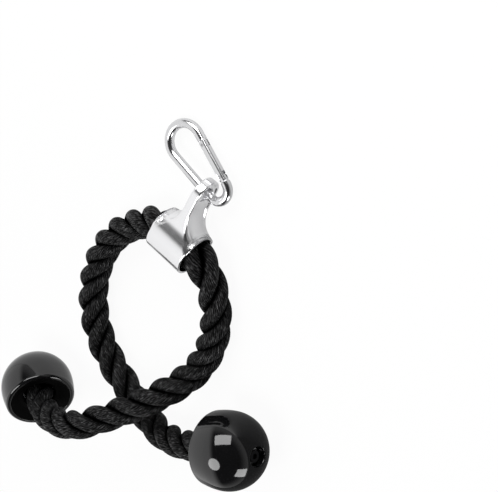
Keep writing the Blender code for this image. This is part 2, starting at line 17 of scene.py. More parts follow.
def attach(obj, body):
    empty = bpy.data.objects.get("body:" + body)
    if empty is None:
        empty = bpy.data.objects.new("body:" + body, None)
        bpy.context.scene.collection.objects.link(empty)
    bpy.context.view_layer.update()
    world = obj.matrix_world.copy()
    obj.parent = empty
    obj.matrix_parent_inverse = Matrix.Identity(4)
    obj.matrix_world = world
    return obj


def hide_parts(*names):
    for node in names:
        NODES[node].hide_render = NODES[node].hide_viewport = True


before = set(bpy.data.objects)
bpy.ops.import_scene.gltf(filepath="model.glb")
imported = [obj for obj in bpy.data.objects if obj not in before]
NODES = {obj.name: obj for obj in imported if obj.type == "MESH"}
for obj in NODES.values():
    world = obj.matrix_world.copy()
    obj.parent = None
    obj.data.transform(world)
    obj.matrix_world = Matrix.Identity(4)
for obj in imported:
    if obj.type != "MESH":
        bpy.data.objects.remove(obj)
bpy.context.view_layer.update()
ROOT = "rope_and_hanger"
HOOK = "snap_hook"
GATE = "gate"
SHIFT = Vector((-0.0344, 0.0996, 0.0))

# Camera: where it stands and how it is turned, as the photograph shows the part
CAMERA_PLACE = Vector((0.33906, 0.7964, 0.74292))
CAMERA_RIGHT = Vector((0.70376, 0.34914, -0.61873))
CAMERA_UP = Vector((-0.64023, 0.68919, -0.33931))
CAMERA_LENS = 92.8

# Light
LAMP_RADIANCE = 6.0
LAMP_DISTANCE = 1.5
KEY_ROLL = 30.0

# Room: the wall is white and the rest darkens from the horizon up. The wall's axis points away
# from it, and its edge is where the cosine to that axis makes it fade out.
ROOM_DARK = 0.035
ROOM_HORIZON = 0.45
ROOM_DARK_HEIGHT = 0.42
WALL_AXIS = (0.689, 0.662, -0.294)
WALL_EDGE = (-0.60, -0.34)

# Floor
FLOOR_HALF = 3.0
FLOOR_GLOW = 0.94
FLOOR_MIRRORED_GLOW = 0.5
# The fade and far glow give a painted falloff of the floor's light towards +X, seen by what shines
FLOOR_FADE = (-0.10, 0.16)
FLOOR_FAR_GLOW = 0.12
FLOOR_PAINT = 0.8

# Metal
PLATE_COLOUR = (0.83, 0.83, 0.84)
# The wire's chrome is darker than the plate's, a painted shade that greys the hook's reflections
SHADED_WIRE_COLOUR = (0.66, 0.66, 0.67)
STEEL_COLOUR = (0.42, 0.42, 0.43)
BLACK_STEEL_COLOUR = (0.045, 0.045, 0.048)

# Rope
ROPE_RADIUS = 0.014
STRAND_COUNT = 3
STRAND_RADIUS = 0.0066
STRAND_OFFSET = 0.0071
RING_STEP = 0.0012
YARN_COUNT = 20
YARN_SIDES = 5
YARN_RELIEF = 0.0003
# Where the painted groove shade of crown begins and ends, as the cosine round a strand
CROWN_FROM = -0.15
CROWN_TO = 0.75
CURVE_STEPS = 40
MOUTH_SWELL = 0.15
MOUTH_EASE = 0.014
ROPE_JOINT_IN_SLEEVE = 0.0045
ROPE_JOINT_IN_BALL = 0.006
ROPE_MEETING = 0.0005
SPINE_STEP = 0.004
STRAND_PATTERN_SHIFT = 40.0
FRONT_PITCH = 0.0713
FRONT_PHASE_DEG = 96.4
FRONT_EASE_DEG = 24.0
FRONT_EASE_START = 0.075
FRONT_EASE_LENGTH = 0.230
REAR_PITCH = 0.0743
REAR_PHASE_DEG = 155.6

# Hanger
SLEEVE_RADIUS = 0.0195
SLEEVE_LENGTH = 0.039
SLEEVE_BORE = 0.0174
SLEEVE_HEIGHT = SLEEVE_RADIUS
LUG_HALF_WIDTH = 0.0135
LUG_FLARE = 0.0058
LUG_WAIST = 0.0295
EYE_HEIGHT = 0.0535
EYE_RADIUS = 0.007
STRAP_WIDTH = 0.0033
STRAP_HALF_THICKNESS = 0.0043
WEB_HALF_THICKNESS = 0.0028
FLARE_RISE = 0.020
FLARE_BLEND = 0.0055
FLARE_BLEND_LOW = 0.0002
LUG_OVER_FLOOR = 0.0002
LUG_TILT = math.asin((SLEEVE_HEIGHT - LUG_HALF_WIDTH - LUG_OVER_FLOOR) / EYE_HEIGHT)
EYE_ALONG = EYE_HEIGHT * math.cos(LUG_TILT)
EYE_OVER_FLOOR = SLEEVE_HEIGHT - EYE_HEIGHT * math.sin(LUG_TILT)
CASTING_VOXEL = 0.00055
CASTING_EVENING_ROUNDS = 6

# Balls
BALL_RADIUS = 0.0345
BALL_SKIRT = 0.018
BALL_RIM_RADIUS = 0.033
BALL_RIM_ROUND = 0.003
BALL_LIP_WIDTH = 0.0014
BALL_LIP_ROUND = 0.0008
BALL_DISH_DEPTH = 0.007
BALL_DISH_MARGIN = 0.0035
BALL_BORE = 0.0158
BALL_BORE_END = -0.016
SCREW_RECESS_RADIUS = 0.0088
SCREW_RECESS_DEPTH = 0.009
SCREW_RECESS_ROUND = 0.0010
SCREW_HOLE_RADIUS = 0.0036
BALL_SIDES = 160
LEFT_BALL = Vector((-0.0667, -0.2588, BALL_RADIUS))
LEFT_BALL_TO_ROPE = Vector((0.841, 0.109, 0.530)).normalized()
RIGHT_BALL = Vector((0.1356, -0.1271, BALL_RADIUS))
RIGHT_BALL_TO_ROPE = Vector((-0.754, -0.651, -0.050)).normalized()

# Snap hook, in its own plane: across from the spine to the gate, and along
WIRE_RADIUS = 0.004
RING_RADIUS = 0.010
BOW_RADIUS = 0.016
BOW_HEIGHT = 0.047
NOSE_END = BOW_HEIGHT - 0.0068
NOSE_TONGUE_END = NOSE_END - 0.0058
NOSE_TONGUE_TOP = NOSE_END + 0.0023
NOSE_TOE_HEIGHT = 0.0010
NOSE_NECK_WIDTH = 0.0018
NOSE_TOE_REACH = 0.0025
TONGUE_HALF_THICKNESS = 0.0014
HINGE_TONGUE_RADIUS = 0.0030
HINGE_TONGUE_ROOT = -0.001
HINGE_SHOULDER = 0.0020
PIVOT_HEIGHT = 0.0065
PIVOT_RADIUS = 0.00125
GATE_RADIUS = 0.0039
GATE_END = NOSE_END - 0.0005
GATE_TOP_SLOT = NOSE_TONGUE_END - 0.0006
HINGE_SLOT_DEPTH = 0.0038
LATCH_PIN_RADIUS = 0.0009
LATCH_PIN_HEIGHT = NOSE_TONGUE_END + 0.0021
FIT_GAP = 0.0003
SKIN = 0.00005
EDGE_ROUND = 0.0005
GATE_EDGE_ROUND = 0.0003
CUT_OVER = 0.004
WIRE_SIDES = 48
WIRE_STEP_DEG = 3.0

# How the snap hook hangs in the eye
SPINE_AT_EYE = 0.0064
HOOK_LEAN = math.radians(67.4)
HOOK_DROOP = math.radians(10.7)
HOOK_DROP_IN_EYE = 0.0025

FRONT_ROUTE = [
    (-0.0440, -0.2551, 0.0486),
    (-0.0360, -0.2515, 0.0532),
    (-0.0268, -0.2456, 0.0576),
    (-0.0154, -0.2368, 0.0618),
    (-0.0026, -0.2256, 0.0641),
    (0.0092, -0.2126, 0.0625),
    (0.0188, -0.1994, 0.0574),
    (0.0273, -0.1868, 0.0514),
    (0.0350, -0.1745, 0.0470),
    (0.0425, -0.1615, 0.0440),
    (0.0501, -0.1470, 0.0400),
    (0.0570, -0.1330, 0.0340),
    (0.0625, -0.1200, 0.0270),
    (0.0668, -0.1055, 0.0205),
    (0.0686, -0.0880, 0.0160),
    (0.0672, -0.0670, 0.0145),
    (0.0618, -0.0465, 0.0143),
    (0.0525, -0.0285, 0.0147),
    (0.0405, -0.0130, 0.0162),
    (0.0300, -0.0040, 0.0182),
]
REAR_ROUTE = [
    (-0.0300, -0.0060, 0.0182),
    (-0.0405, -0.0175, 0.0160),
    (-0.0515, -0.0325, 0.0146),
    (-0.0600, -0.0490, 0.0142),
    (-0.0655, -0.0680, 0.0141),
    (-0.0672, -0.0870, 0.0141),
    (-0.0656, -0.1070, 0.0141),
    (-0.0608, -0.1265, 0.0141),
    (-0.0528, -0.1435, 0.0141),
    (-0.0420, -0.1580, 0.0141),
    (-0.0295, -0.1690, 0.0141),
    (-0.0150, -0.1778, 0.0141),
    (0.0010, -0.1845, 0.0141),
    (0.0170, -0.1900, 0.0141),
    (0.0330, -0.1955, 0.0142),
    (0.0475, -0.1985, 0.0148),
    (0.0610, -0.1968, 0.0170),
    (0.0745, -0.1895, 0.0210),
    (0.0880, -0.1780, 0.0256),
    (0.1025, -0.1630, 0.0298),
]


def make_camera():
    data = bpy.data.cameras.new("camera")
    data.sensor_fit = "HORIZONTAL"
    data.sensor_width = 36.0
    data.lens = CAMERA_LENS
    data.clip_start = 0.05
    camera = bpy.data.objects.new("camera", data)
    bpy.context.scene.collection.objects.link(camera)
    back = CAMERA_RIGHT.cross(CAMERA_UP)
    turn = Matrix((CAMERA_RIGHT, CAMERA_UP, back)).transposed()
    camera.matrix_world = Matrix.Translation(CAMERA_PLACE) @ turn.to_4x4()
    bpy.context.scene.camera = camera


# Node materials


def add_node(tree, kind, inputs=None, **settings):
    """A shader node with its settings, whose inputs are values or other nodes' outputs."""
    made = tree.nodes.new("ShaderNode" + kind)
    for name, value in settings.items():
        setattr(made, name, value)
    for name, value in (inputs or {}).items():
        if isinstance(value, bpy.types.NodeSocket):
            tree.links.new(value, made.inputs[name])
        else:
            made.inputs[name].default_value = value
    return made


class Shader:
    """A material's node tree with short calls for the nodes that are used here."""

    def __init__(self, name):
        self.material = bpy.data.materials.new(name)
        self.material.use_nodes = True
        self.tree = self.material.node_tree
        self.surface = self.tree.nodes["Principled BSDF"]
        self.node = partial(add_node, self.tree)

    def set(self, **values):
        for name, value in values.items():
            self.surface.inputs[name.replace("_", " ")].default_value = value

    def link(self, output, name):
        self.tree.links.new(output, self.surface.inputs[name])

    def ramp(self, factor, low, high, at=(0.0, 1.0)):
        made = self.node("ValToRGB", {"Fac": factor})
        for stop, colour, place in zip(made.color_ramp.elements, (low, high), at):
            stop.color = (*colour, 1.0) if len(colour) == 3 else colour
            stop.position = place
        return made.outputs["Color"]

    def spread(self, value, low, high):
        made = self.node("MapRange", {"Value": value, "To Min": low, "To Max": high})
        return made.outputs["Result"]


def rope_material():
    """Black fibre: yarns of fine filaments, with painted glints, and painted shade between the
    yarns and in the strands' grooves.
    """
    s = Shader("rope_fibre")
    lay = s.node("Attribute", attribute_name="lay").outputs["Vector"]

    def fibre(across, along, detail):
        scaled = s.node("VectorMath", {0: lay, 1: (across, across, along)}, operation="MULTIPLY")
        inputs = {"Vector": scaled.outputs[0], "Scale": 1.0, "Detail": detail}
        return s.node("TexNoise", inputs).outputs["Fac"]

    filaments = fibre(2.6, 0.10, 2.0)
    bundles = fibre(0.9, 0.09, 1.0)
    # Spots of painted glint: the colour is lighter there and the shine rises.
    sparkle_spots = fibre(1.5, 0.40, 3.0)
    height = s.node("Attribute", attribute_name="yarn_height").outputs["Fac"]
    crown = s.node("Attribute", attribute_name="crown").outputs["Fac"]
    # Random filament tone times yarn_height, so the colour darkens between the yarns as painted
    # shade.
    lines = s.node("Math", {0: filaments, 1: bundles}, operation="MULTIPLY")
    lines = s.node("Math", {0: lines.outputs[0], 1: height}, operation="MULTIPLY")
    dark = s.ramp(lines.outputs[0], (0.0006, 0.0006, 0.0006), (0.02, 0.02, 0.0205), (0.08, 0.36))
    # Painted glints in the colour.
    painted_glint = s.ramp(sparkle_spots, (0.0, 0.0, 0.0), (0.075, 0.075, 0.077), (0.56, 0.74))
    both = s.node("VectorMath", {0: dark, 1: painted_glint}, operation="ADD")
    # Painted shade in the strands' grooves: the colour is scaled down by crown towards a strand's
    # sides.
    shaded = s.node("VectorMath", {0: both.outputs[0], 3: crown}, operation="SCALE")
    s.link(shaded.outputs[0], "Base Color")
    # The shine rises in the glint spots and is cut towards the grooves by crown, as painted shade.
    shine = s.ramp(sparkle_spots, (0.01,) * 3, (0.5,) * 3, (0.48, 0.72))
    shine = s.node("Math", {0: shine, 1: crown}, operation="MULTIPLY")
    s.link(shine.outputs[0], "Specular IOR Level")
    s.link(s.spread(filaments, 0.30, 0.50), "Roughness")
    inputs = {"Strength": 1.0, "Distance": 0.0006, "Height": lines.outputs[0]}
    s.link(s.node("Bump", inputs).outputs["Normal"], "Normal")
    return s.material


def chrome_material(name, colour, low, high, ripple):
    """Polished plate: faint haze and the slight waviness of a buffed casting."""
    s = Shader(name)
    s.set(Base_Color=(*colour, 1.0), Metallic=1.0)
    place = s.node("NewGeometry").outputs["Position"]
    haze = s.node("TexNoise", {"Vector": place, "Scale": 90.0, "Detail": 4.0})
    s.link(s.spread(haze.outputs["Fac"], low, high), "Roughness")
    waves = s.node("TexNoise", {"Vector": place, "Scale": 160.0, "Detail": 1.0})
    bump = s.node("Bump", {"Strength": ripple, "Distance": 0.0006, "Height": waves.outputs["Fac"]})
    s.link(bump.outputs["Normal"], "Normal")
    return s.material


def ball_material():
    """Glossy black moulding with faint polishing haze and a few hairline scuffs."""
    s = Shader("black_moulding")
    s.set(IOR=1.58)
    place = s.node("NewGeometry").outputs["Position"]
    cloud = s.node("TexNoise", {"Vector": place, "Scale": 45.0, "Detail": 5.0})
    s.link(s.spread(cloud.outputs["Fac"], 0.03, 0.1), "Roughness")
    colour = s.ramp(cloud.outputs["Fac"], (0.002, 0.002, 0.0022), (0.005, 0.005, 0.0055))
    s.link(colour, "Base Color")
    scuffs = s.node("TexNoise", {"Vector": place, "Scale": 900.0, "Detail": 2.0})
    bump = s.node("Bump", {"Strength": 0.04, "Distance": 0.0002, "Height": scuffs.outputs["Fac"]})
    s.link(bump.outputs["Normal"], "Normal")
    return s.material


def mouth_material():
    """The inside of a ball's mouth: black and almost without shine, a painted shade that keeps the
    mouth dark.
    """
    s = Shader("black_mouth")
    s.set(Specular_IOR_Level=0.02)
    place = s.node("NewGeometry").outputs["Position"]
    grain = s.node("TexNoise", {"Vector": place, "Scale": 700.0, "Detail": 3.0})
    s.link(s.ramp(grain.outputs["Fac"], (0.002,) * 3, (0.004,) * 3), "Base Color")
    s.link(s.spread(grain.outputs["Fac"], 0.5, 0.7), "Roughness")
    return s.material


def steel_material(name, colour):
    """Steel of the small fixings, with a turned grain."""
    s = Shader(name)
    s.set(Base_Color=(*colour, 1.0), Metallic=1.0)
    place = s.node("NewGeometry").outputs["Position"]
    grain = s.node("TexNoise", {"Vector": place, "Scale": 1800.0, "Detail": 3.0})
    s.link(s.spread(grain.outputs["Fac"], 0.25, 0.5), "Roughness")
    bump = s.node("Bump", {"Strength": 0.2, "Distance": 0.0001, "Height": grain.outputs["Fac"]})
    s.link(bump.outputs["Normal"], "Normal")
    return s.material


def add_mesh(name, vertices, faces, material, smooth=True):
    mesh = bpy.data.meshes.new(name)
    mesh.from_pydata(vertices, [], faces)
    mesh.materials.append(material)
    if smooth:
        mesh.shade_smooth()
    mesh.update()
    made = bpy.data.objects.new(name, mesh)
    bpy.context.scene.collection.objects.link(made)
    return made


def arc(centre, radius, start_deg, end_deg, steps):
    """Points on an arc in the plane, both ends included."""
    angles = np.radians(np.linspace(start_deg, end_deg, steps + 1))
    return [(centre[0] + radius * math.cos(a), centre[1] + radius * math.sin(a)) for a in angles]


def unit(vectors):
    return vectors / np.linalg.norm(vectors, axis=-1, keepdims=True)


def smooth_step(value, low, high):
    t = np.clip((value - low) / (high - low), 0.0, 1.0)
    return t * t * (3.0 - 2.0 * t)


def evaluated_mesh(made):
    """The object's mesh as its modifiers leave it."""
    bpy.context.view_layer.update()
    graph = bpy.context.evaluated_depsgraph_get()
    return bpy.data.meshes.new_from_object(made.evaluated_get(graph))


# Rope


def rope_route(route, step):
    """Even points on the smooth curve through the route, with their distance along it."""
    dense = [route[0]]
    for a, b, c, d in zip(route, route[1:], route[2:], route[3:]):
        for i in range(CURVE_STEPS):
            t = i / CURVE_STEPS
            bend = 2 * a - 5 * b + 4 * c - d
            twist = 3 * b - a - 3 * c + d
            dense.append((2 * b + (c - a) * t + bend * t**2 + twist * t**3) / 2)
    dense += [route[-2], route[-1]]
    dense = np.array([tuple(p) for p in dense])
    travelled = np.concatenate([[0.0], np.cumsum(np.linalg.norm(np.diff(dense, axis=0), axis=1))])
    wanted = np.linspace(0.0, travelled[-1], round(travelled[-1] / step) + 1)
    even = np.stack([np.interp(wanted, travelled, dense[:, k]) for k in range(3)], axis=1)
    return even, wanted


def carried_frames(points):
    """Unit tangents and two normals that are carried along the line without twisting."""
    tangents = unit(np.gradient(points, axis=0))
    first = np.cross(tangents[0], (0.0, 0.0, 1.0))
    normals = [first / np.linalg.norm(first)]
    for tangent in tangents[1:]:
        side = normals[-1] - tangent * (normals[-1] @ tangent)
        normals.append(side / np.linalg.norm(side))
    normals = np.array(normals)
    return tangents, normals, np.cross(tangents, normals)


def ring_faces(rings, sides, start):
    """Quads between closed rings of points, and a cap at each end."""
    i, j = np.meshgrid(np.arange(rings - 1), np.arange(sides), indexing="ij")
    a = start + i * sides + j
    b = start + i * sides + (j + 1) % sides
    faces = np.stack([a, b, b + sides, a + sides], axis=2).reshape(-1, 4).tolist()
    last = start + (rings - 1) * sides
    faces.append([start + k for k in reversed(range(sides))])
    faces.append([last + k for k in range(sides)])
    return faces


def make_rope(name, route, phase, swell, material):
    """Three strands laid round the route. The mesh lines of a strand follow its yarns.

    phase(s) is the first strand's angle and swell(s) the rope's size at distance s.
    """
    points, along = rope_route(route, RING_STEP)
    tangents, normals, sides = carried_frames(points)
    size = swell(along)[:, None]
    count = YARN_COUNT * YARN_SIDES
    around = np.arange(count) / count * 2 * math.pi
    crest = np.abs(np.sin(around * YARN_COUNT / 2))
    vertices, faces, lay, height, crown = [], [], [], [], []
    for k in range(STRAND_COUNT):
        angle = phase(along) + 2 * math.pi * k / STRAND_COUNT
        out = np.cos(angle)[:, None] * normals + np.sin(angle)[:, None] * sides
        middle = points + out * STRAND_OFFSET * size
        ahead = unit(np.gradient(middle, axis=0))
        out = unit(out - ahead * np.sum(out * ahead, axis=1)[:, None])
        across = np.cross(ahead, out)
        turn = np.gradient(angle, along)
        stretch = np.sqrt(1.0 + (STRAND_OFFSET * turn) ** 2)
        twist = np.cumsum(turn * ROPE_RADIUS / STRAND_RADIUS * stretch) * (along[1] - along[0])
        yarn = around[None, :] - twist[:, None]
        ring = np.cos(yarn)[:, :, None] * out[:, None, :]
        ring = ring + np.sin(yarn)[:, :, None] * across[:, None, :]
        radius = STRAND_RADIUS * size - YARN_RELIEF + YARN_RELIEF * crest[None, :]
        surface = middle[:, None, :] + radius[:, :, None] * ring
        faces += ring_faces(len(points), count, len(vertices))
        vertices += surface.reshape(-1, 3).tolist()
        girth = STRAND_RADIUS * 1000
        spots = np.zeros((len(points), count, 3))
        spots[:, :, 0] = girth * np.cos(around) + STRAND_PATTERN_SHIFT * k
        spots[:, :, 1] = girth * np.sin(around)
        spots[:, :, 2] = along[:, None] * 1000
        lay.append(spots.reshape(-1, 3))
        # yarn_height marks the yarns' crests; the fibre colour darkens between them as painted
        # shade.
        height.append(np.tile(crest, len(points)))
        # crown is 1 on a strand's outer side and falls to 0 by the grooves; the fibre uses it for
        # painted shade there.
        crown.append(smooth_step(np.cos(yarn), CROWN_FROM, CROWN_TO).ravel())
    rope = add_mesh(name, vertices, faces, material)
    layer = rope.data.attributes.new("lay", "FLOAT_VECTOR", "POINT")
    layer.data.foreach_set("vector", np.concatenate(lay).astype(np.float32).ravel())
    layer = rope.data.attributes.new("yarn_height", "FLOAT", "POINT")
    layer.data.foreach_set("value", np.concatenate(height).astype(np.float32))
    layer = rope.data.attributes.new("crown", "FLOAT", "POINT")
    layer.data.foreach_set("value", np.concatenate(crown).astype(np.float32))
    every = round(SPINE_STEP / RING_STEP)
    spine = points[::every].tolist()
    if (len(points) - 1) % every:
        spine.append(points[-1].tolist())
    return rope, spine, float(along[-1])


def sleeve_swell(to_mouth):
    """The rope fills the sleeve and thins to its own size a little way out of the mouth."""
    return 1.0 + MOUTH_SWELL * np.exp(-(np.maximum(to_mouth, 0.0) / MOUTH_EASE) ** 2)


def make_ropes(material):
    mouth = SLEEVE_LENGTH / 2
    joint = mouth - ROPE_JOINT_IN_SLEEVE

    def moved(points):
        return [Vector(p) + SHIFT for p in points]

    left = [LEFT_BALL + LEFT_BALL_TO_ROPE * s for s in (ROPE_JOINT_IN_BALL, BALL_SKIRT)]
    right = [RIGHT_BALL + RIGHT_BALL_TO_ROPE * s for s in (BALL_SKIRT, ROPE_JOINT_IN_BALL)]
    into_right_mouth = [(s, 0.0, SLEEVE_HEIGHT) for s in (mouth, ROPE_MEETING)]
    out_of_left_mouth = [(-s, 0.0, SLEEVE_HEIGHT) for s in (ROPE_MEETING, mouth)]

    def front_phase(s):
        ease = np.cos(2 * math.pi * (s - FRONT_EASE_START) / FRONT_EASE_LENGTH)
        start = math.radians(FRONT_PHASE_DEG) + math.radians(FRONT_EASE_DEG) * ease
        return 2 * math.pi * s / FRONT_PITCH + start

    front_route = moved(left + FRONT_ROUTE + into_right_mouth)
    total = rope_route(front_route, RING_STEP)[1][-1]
    front, front_spine, front_length = make_rope(
        "rope_front", front_route, front_phase,
        lambda s: sleeve_swell(total - mouth - s), material,
    )
    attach(front, ROOT)
    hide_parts("rope_front_stretch", "rope_in_sleeve")

    def rear_phase(s):
        s = s - (joint - ROPE_MEETING)
        return 2 * math.pi * s / REAR_PITCH + math.radians(REAR_PHASE_DEG)

    rear_route = moved(out_of_left_mouth + REAR_ROUTE + right)
    rear, rear_spine, rear_length = make_rope(
        "rope_rear", rear_route, rear_phase,
        lambda s: sleeve_swell(s - mouth), material,
    )
    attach(rear, ROOT)
    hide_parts("rope_rear_stretch")


# Balls


def lathe(name, profile, sides, material, matrix):
    """A profile of (radius, height) points turned about Z, then placed."""
    vertices, faces = [], []
    for radius, height in profile:
        for j in range(sides):
            angle = 2 * math.pi * j / sides
            local = Vector((radius * math.cos(angle), radius * math.sin(angle), height))
            vertices.append(matrix @ local)
    count = len(profile)
    for i in range(count):
        for j in range(sides):
            a, b = i * sides + j, i * sides + (j + 1) % sides
            c, d = ((i + 1) % count) * sides + (j + 1) % sides, ((i + 1) % count) * sides + j
            faces.append((a, b, c, d))
    return add_mesh(name, vertices, faces, material)


def make_ball(side, centre, to_rope, material, inside):
    """A ball whose skirt ends in a rounded rim and a dished mouth, with a screw recess."""
    turn = Vector((0.0, 0.0, 1.0)).rotation_difference(to_rope).to_matrix().to_4x4()
    place = Matrix.Translation(centre + SHIFT) @ turn
    edge = SCREW_RECESS_RADIUS + SCREW_RECESS_ROUND
    land = math.sqrt(BALL_RADIUS**2 - edge**2)
    start = -math.degrees(math.acos(edge / BALL_RADIUS))
    floor = SCREW_RECESS_DEPTH - land
    soft = SCREW_RECESS_ROUND / 2
    profile = [(SCREW_HOLE_RADIUS, BALL_BORE_END), (SCREW_HOLE_RADIUS, floor)]
    profile += arc((SCREW_RECESS_RADIUS - soft, floor - soft), soft, 90.0, 0.0, 5)
    lift = (edge, -land + SCREW_RECESS_ROUND)
    profile += arc(lift, SCREW_RECESS_ROUND, 180.0, 270.0 + start / 3, 8)[:-1]
    profile += arc((0.0, 0.0), BALL_RADIUS, start + 0.6, 0.0, 64)
    rim = (BALL_RIM_RADIUS - BALL_RIM_ROUND, BALL_SKIRT - BALL_RIM_ROUND)
    for i in range(1, 12):
        drawn_in = (BALL_RADIUS - BALL_RIM_RADIUS) * (i / 12) ** 2
        profile.append((BALL_RADIUS - drawn_in, rim[1] * i / 12))
    profile += arc(rim, BALL_RIM_ROUND, 0.0, 90.0, 14)
    lip = (rim[0] - BALL_LIP_WIDTH + BALL_LIP_ROUND, BALL_SKIRT - BALL_LIP_ROUND)
    profile += arc(lip, BALL_LIP_ROUND, 90.0, 145.0, 6)
    dish = BALL_SKIRT - BALL_DISH_DEPTH
    foot = BALL_BORE + BALL_DISH_MARGIN
    mouth = len(profile) - 1
    profile += [(foot + 0.0016, dish + 0.0011), (foot + 0.0006, dish + 0.0003), (foot, dish)]
    profile += [(BALL_BORE + 0.0003, dish), (BALL_BORE, dish - 0.0003)]
    profile.append((BALL_BORE, BALL_BORE_END))
    ball = lathe(f"ball_{side}", profile, BALL_SIDES, material, place)
    # The mouth's faces take the black, shineless inside, a painted shade.
    ball.data.materials.append(inside)
    for face in ball.data.polygons[mouth * BALL_SIDES:]:
        face.material_index = 1
    ball.data.set_sharp_from_angle(angle=math.radians(50.0))
    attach(ball, ROOT)
    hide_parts(f"end_ball_{side}")


# Snap hook


def hook_frame():
    """The hook's own frame in the model: its spine goes through the eye, its bow droops."""
    lean = spine_angle()
    start = Vector((-RING_RADIUS * math.cos(lean), -RING_RADIUS * math.sin(lean), 0.0))
    at_eye = start + Vector((-math.sin(lean), math.cos(lean), 0.0)) * SPINE_AT_EYE
    eye = SHIFT + Vector((0.0, EYE_ALONG, EYE_OVER_FLOOR - HOOK_DROP_IN_EYE))
    turn = Matrix.Rotation(-HOOK_DROOP, 4, "X") @ Matrix.Rotation(HOOK_LEAN, 4, "Z")
    return Matrix.Translation(eye) @ turn @ Matrix.Translation(-at_eye)


def spine_angle():
    """How far the straight spine leans out from the hook's long axis."""
    across = RING_RADIUS - BOW_RADIUS
    between = math.hypot(across, BOW_HEIGHT)
    return math.atan2(-across, BOW_HEIGHT) + math.asin((BOW_RADIUS - RING_RADIUS) / between)


def hook_line():
    """The wire's centre line, from the nose over the bow, down the spine, round the ring."""
    lean = math.degrees(spine_angle())
    bow = (RING_RADIUS - BOW_RADIUS, BOW_HEIGHT)
    sweep = 180.0 + lean
    line = [(RING_RADIUS, NOSE_END), (RING_RADIUS, NOSE_END + EDGE_ROUND)]
    line += arc(bow, BOW_RADIUS, 0.0, sweep, round(sweep / WIRE_STEP_DEG))
    turn = 180.0 - lean
    line += arc((0.0, 0.0), RING_RADIUS, sweep, sweep + turn, round(turn / WIRE_STEP_DEG))
    line += [(RING_RADIUS, HINGE_SHOULDER - EDGE_ROUND), (RING_RADIUS, HINGE_SHOULDER)]
    return line


def plate(outline, half_thickness):
    """A flat outline of (x, y) points as a bmesh, thick to both sides of z = 0."""
    bm = bmesh.new()
    face = bm.faces.new([bm.verts.new((x, y, -half_thickness)) for x, y in outline])
    grown = bmesh.ops.extrude_face_region(bm, geom=[face])
    moved = [item for item in grown["geom"] if isinstance(item, bmesh.types.BMVert)]
    bmesh.ops.translate(bm, verts=moved, vec=(0.0, 0.0, 2 * half_thickness))
    bmesh.ops.recalc_face_normals(bm, faces=bm.faces)
    return bm


def object_from(name, bm, matrix, material=None):
    mesh = bpy.data.meshes.new(name)
    bm.transform(matrix)
    bm.to_mesh(mesh)
    bm.free()
    if material:
        mesh.materials.append(material)
    made = bpy.data.objects.new(name, mesh)
    bpy.context.scene.collection.objects.link(made)
    return made


def carve(made, others, operation, round_width=0.0):
    """Joins or cuts the others, then rounds the sharp edges and keeps the result."""
    for other in others:
        step = made.modifiers.new("carve", "BOOLEAN")
        step.operation = operation
        step.object = other
    if round_width:
        bevel = made.modifiers.new("edges", "BEVEL")
        bevel.width = round_width
        bevel.segments = 2
        bevel.limit_method = "ANGLE"
        bevel.angle_limit = math.radians(40.0)
        bevel.use_clamp_overlap = True
    made.data = evaluated_mesh(made)
    made.modifiers.clear()
    for other in others:
        bpy.data.objects.remove(other, do_unlink=True)
    made.data.shade_smooth()
    made.data.set_sharp_from_angle(angle=math.radians(32.0))


def rod(name, radius, low, high, matrix, sides=WIRE_SIDES, axis="Z", material=None):
    """A cylinder from low to high on Z, or on Y, in the given frame."""
    bm = bmesh.new()
    bmesh.ops.create_cone(
        bm, cap_ends=True, segments=sides, radius1=radius, radius2=radius, depth=high - low
    )
    bmesh.ops.translate(bm, verts=bm.verts, vec=(0.0, 0.0, (low + high) / 2))
    if axis == "Y":
        bmesh.ops.transform(bm, matrix=Matrix.Rotation(-math.pi / 2, 4, "X"), verts=bm.verts)
    return object_from(name, bm, matrix, material)


def make_hook_body(frame_matrix, material):
    line = hook_line()
    middle = np.array([(x, y, 0.0) for x, y in line])
    ahead = unit(np.gradient(middle, axis=0))
    ahead[0], ahead[-1] = (0.0, 1.0, 0.0), (0.0, 1.0, 0.0)
    side = np.cross(ahead, (0.0, 0.0, 1.0))
    around = np.arange(WIRE_SIDES) / WIRE_SIDES * 2 * math.pi
    radius = np.full(len(line), WIRE_RADIUS)
    radius[[0, -1]] -= EDGE_ROUND
    ring = np.cos(around)[None, :, None] * side[:, None, :]
    ring[:, :, 2] += np.sin(around)[None, :]
    surface = middle[:, None, :] + radius[:, None, None] * ring
    corners = [frame_matrix @ Vector(p) for p in surface.reshape(-1, 3)]
    faces = ring_faces(len(line), WIRE_SIDES, 0)
    body = add_mesh("hook_wire", corners, faces, material)
    bm = bmesh.new()
    bm.from_mesh(body.data)
    bmesh.ops.recalc_face_normals(bm, faces=bm.faces)
    bm.to_mesh(body.data)
    bm.free()
    x = RING_RADIUS
    hinge = [
        (x - HINGE_TONGUE_RADIUS, HINGE_TONGUE_ROOT),
        (x + HINGE_TONGUE_RADIUS, HINGE_TONGUE_ROOT),
    ]
    hinge += arc((x, PIVOT_HEIGHT), HINGE_TONGUE_RADIUS, 0.0, 180.0, 24)
    out = x + HINGE_TONGUE_RADIUS
    neck = out - NOSE_NECK_WIDTH
    toe_top = NOSE_TONGUE_END + NOSE_TOE_HEIGHT
    neck_top = LATCH_PIN_HEIGHT + LATCH_PIN_RADIUS + FIT_GAP
    nose = [
        (out, NOSE_TONGUE_END),
        (out, NOSE_TONGUE_TOP),
        (x - HINGE_TONGUE_RADIUS, NOSE_TONGUE_TOP),
        (x - HINGE_TONGUE_RADIUS, neck_top),
        (neck, neck_top),
        (neck, toe_top),
        (x - NOSE_TOE_REACH, toe_top),
        (x - NOSE_TOE_REACH, NOSE_TONGUE_END),
    ]
    tongues = [
        object_from("tongue", plate(outline, TONGUE_HALF_THICKNESS), frame_matrix)
        for outline in (hinge, nose)
    ]
    carve(body, tongues, "UNION")
    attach(body, HOOK)
    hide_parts("snap_hook_body")


